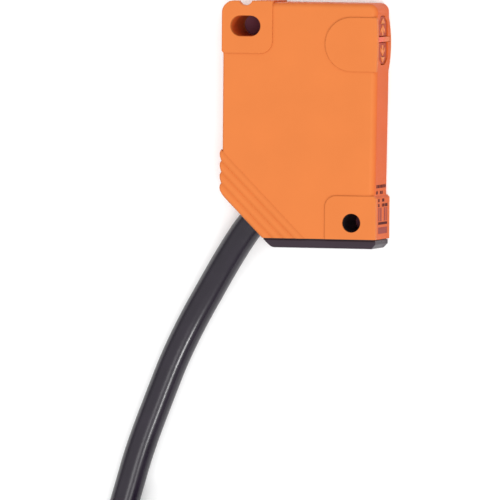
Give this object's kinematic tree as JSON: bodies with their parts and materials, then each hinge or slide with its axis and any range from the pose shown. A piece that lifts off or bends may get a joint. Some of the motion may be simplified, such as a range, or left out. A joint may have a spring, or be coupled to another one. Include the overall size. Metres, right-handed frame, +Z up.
{
  "type": "photoelectric sensor",
  "caption": "Flat cuboid photoelectric sensor with a dark optical window, diagonal screw hole and slot, two setting buttons and a cable leaving by a ribbed chamfer.",
  "frame": {"origin": "under the middle of the sensor, cable left out, on the surface that its large face lies on", "axes": "+Y along the length away from the sensing window, +X towards the narrow side with the buttons, +Z up through the thickness"},
  "size_m": [0.0819, 0.1709, 0.0203],
  "materials": {
    "housing_plastic": "fine moulded, orange",
    "window_plastic": "glossy, near black",
    "black_plastic": "matte black",
    "key_rubber": "matte, red brown",
    "seal_rubber": "matte black",
    "light_pipe": "translucent, pale red",
    "lens_plastic": "clear",
    "board": "green solder mask",
    "chip_plastic": "matte black epoxy",
    "tin": "tinned steel",
    "tantalum": "ochre epoxy",
    "led_red": "tinted epoxy",
    "led_green": "tinted epoxy",
    "led_yellow": "tinted epoxy",
    "cable_jacket": "satin black, smooth",
    "core_brown": "smooth brown insulation",
    "core_blue": "smooth blue insulation",
    "core_black": "smooth black insulation",
    "tie_plastic": "white band"
  },
  "bodies": {
    "body": {"housing": "housing_plastic", "mounting_bush": "black_plastic", "window": "window_plastic", "window_seal": "seal_rubber", "optics_carrier": "black_plastic", "emitter_lens": "lens_plastic", "receiver_lens": "lens_plastic", "emitter_led": "led_red", "receiver_chip": "chip_plastic", "optics_board": "board", "board_link": "chip_plastic", "main_board": "board", "signal_processor": "chip_plastic", "shield_can": "tin", "output_transistor": "chip_plastic", "protection_diode": "chip_plastic", "power_inductor": "chip_plastic", "capacitor_bank": "tantalum", "resistor_row": "chip_plastic", "status_led_green": "led_green", "status_led_yellow": "led_yellow", "light_guide": "light_pipe", "button_seal": "seal_rubber", "switch_up": "tin", "switch_down": "tin", "cable_grommet": "seal_rubber", "cable_crimp": "tin", "cable_stub": "cable_jacket", "inner_core_brown": "core_brown", "inner_core_blue": "core_blue", "inner_core_black": "core_black", "cable": "cable_jacket", "cable_coil": "cable_jacket", "cable_tail": "cable_jacket", "coil_tie": "tie_plastic", "core_brown": "core_brown", "core_blue": "core_blue", "core_black": "core_black", "core_tips": "tin"},
    "key_up": {"button_up": "key_rubber", "plunger_up": "black_plastic"},
    "key_down": {"button_down": "key_rubber", "plunger_down": "black_plastic"}
  },
  "joints": [
    {"name": "press_up", "type": "slide", "parent": "body", "child": "key_up", "axis": [-1, 0, 0], "range_m": [0, 0.00035], "stiffness_N_per_m": 2000, "springref_m": -0.0003},
    {"name": "press_down", "type": "slide", "parent": "body", "child": "key_down", "axis": [-1, 0, 0], "range_m": [0, 0.00035], "stiffness_N_per_m": 2000, "springref_m": -0.0003}
  ]
}
